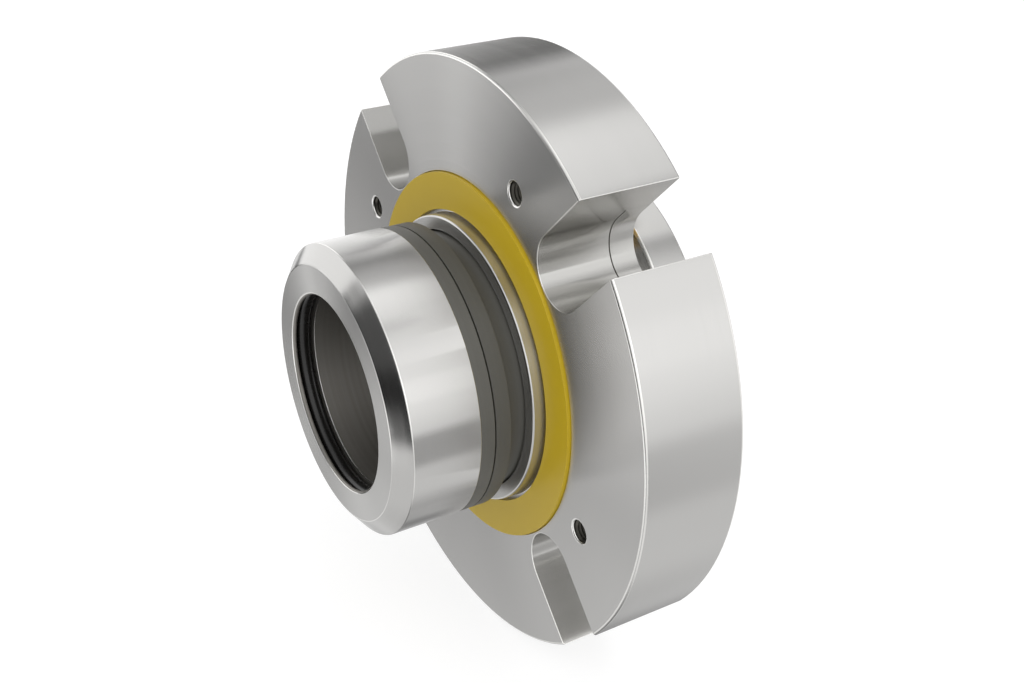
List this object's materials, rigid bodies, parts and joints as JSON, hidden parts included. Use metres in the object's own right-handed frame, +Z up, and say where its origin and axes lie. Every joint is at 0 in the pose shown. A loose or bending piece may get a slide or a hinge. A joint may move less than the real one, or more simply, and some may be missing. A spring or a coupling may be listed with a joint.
{
  "type": "pusher mechanical seal",
  "caption": "Cartridge pusher seal for a pump shaft: slotted gland plate with gasket, sleeve with chamfered head, spring-loaded face rings, drive collar and setting clips.",
  "frame": {"origin": "on the seal axis, in the plane of the gland's front face, which bolts to the pump", "axes": "-Y along the seal axis towards the pumped side, where the sleeve's head is; +Y towards the bearings, where the drive collar is; +Z up"},
  "size_m": [0.14, 0.0773, 0.14],
  "materials": {
    "turned_steel": "fine turned stainless steel",
    "polished_steel": "fine turned and polished stainless steel",
    "gasket": "matt, gold-coloured filled plastic sheet",
    "o_ring_rubber": "glossy moulded rubber",
    "carbon": "ground carbon, warm dark grey",
    "hard_face": "ground ceramic, warm dark grey",
    "screw_steel": "stainless fasteners",
    "pin_steel": "ground pins",
    "spring_steel": "dark spring steel",
    "spring_wire": "drawn spring wire",
    "clip_brass": "plain sheet brass"
  },
  "bodies": {
    "gland_body": {"gland": "turned_steel", "gland_gasket": "gasket", "cover_ring": "turned_steel", "cover_screws": "screw_steel", "clip_screws": "screw_steel", "anti_rotation_pins": "pin_steel", "stationary_o_ring": "o_ring_rubber", "spring_1": "spring_wire", "spring_2": "spring_wire", "spring_3": "spring_wire", "spring_4": "spring_wire", "spring_5": "spring_wire", "spring_6": "spring_wire", "spring_7": "spring_wire", "spring_8": "spring_wire"},
    "face_body": {"stationary_face": "carbon", "thrust_plate": "turned_steel"},
    "rotor": {"sleeve": "polished_steel", "sleeve_o_ring": "o_ring_rubber", "rotating_face": "hard_face", "rotating_o_ring": "o_ring_rubber", "drive_pins": "pin_steel", "drive_collar": "turned_steel", "set_screws": "screw_steel", "retaining_ring": "spring_steel"},
    "clip_1": {"setting_clip_1": "clip_brass"},
    "clip_2": {"setting_clip_2": "clip_brass"},
    "clip_3": {"setting_clip_3": "clip_brass"},
    "clip_4": {"setting_clip_4": "clip_brass"}
  },
  "joints": [
    {"name": "rotor_spin", "type": "hinge", "parent": "gland_body", "child": "rotor", "pos_m": [0, 0, 0], "axis": [0, -1, 0], "continuous": true},
    {"name": "face_slide", "type": "slide", "parent": "gland_body", "child": "face_body", "axis": [0, 1, 0], "range_m": [0, 0.002], "stiffness_N_per_m": 8000, "springref_m": -0.004, "deforming": ["spring_1", "spring_2", "spring_3", "spring_4", "spring_5", "spring_6", "spring_7", "spring_8"]},
    {"name": "clip_1_swing", "type": "hinge", "parent": "gland_body", "child": "clip_1", "pos_m": [0.01979, 0.0265, 0.04777], "axis": [0, 1, 0], "range_deg": [-120, 120]},
    {"name": "clip_2_swing", "type": "hinge", "parent": "gland_body", "child": "clip_2", "pos_m": [-0.04777, 0.0265, 0.01979], "axis": [0, 1, 0], "range_deg": [-120, 120]},
    {"name": "clip_3_swing", "type": "hinge", "parent": "gland_body", "child": "clip_3", "pos_m": [-0.01979, 0.0265, -0.04777], "axis": [0, 1, 0], "range_deg": [-120, 120]},
    {"name": "clip_4_swing", "type": "hinge", "parent": "gland_body", "child": "clip_4", "pos_m": [0.04777, 0.0265, -0.01979], "axis": [0, 1, 0], "range_deg": [-120, 120]}
  ]
}
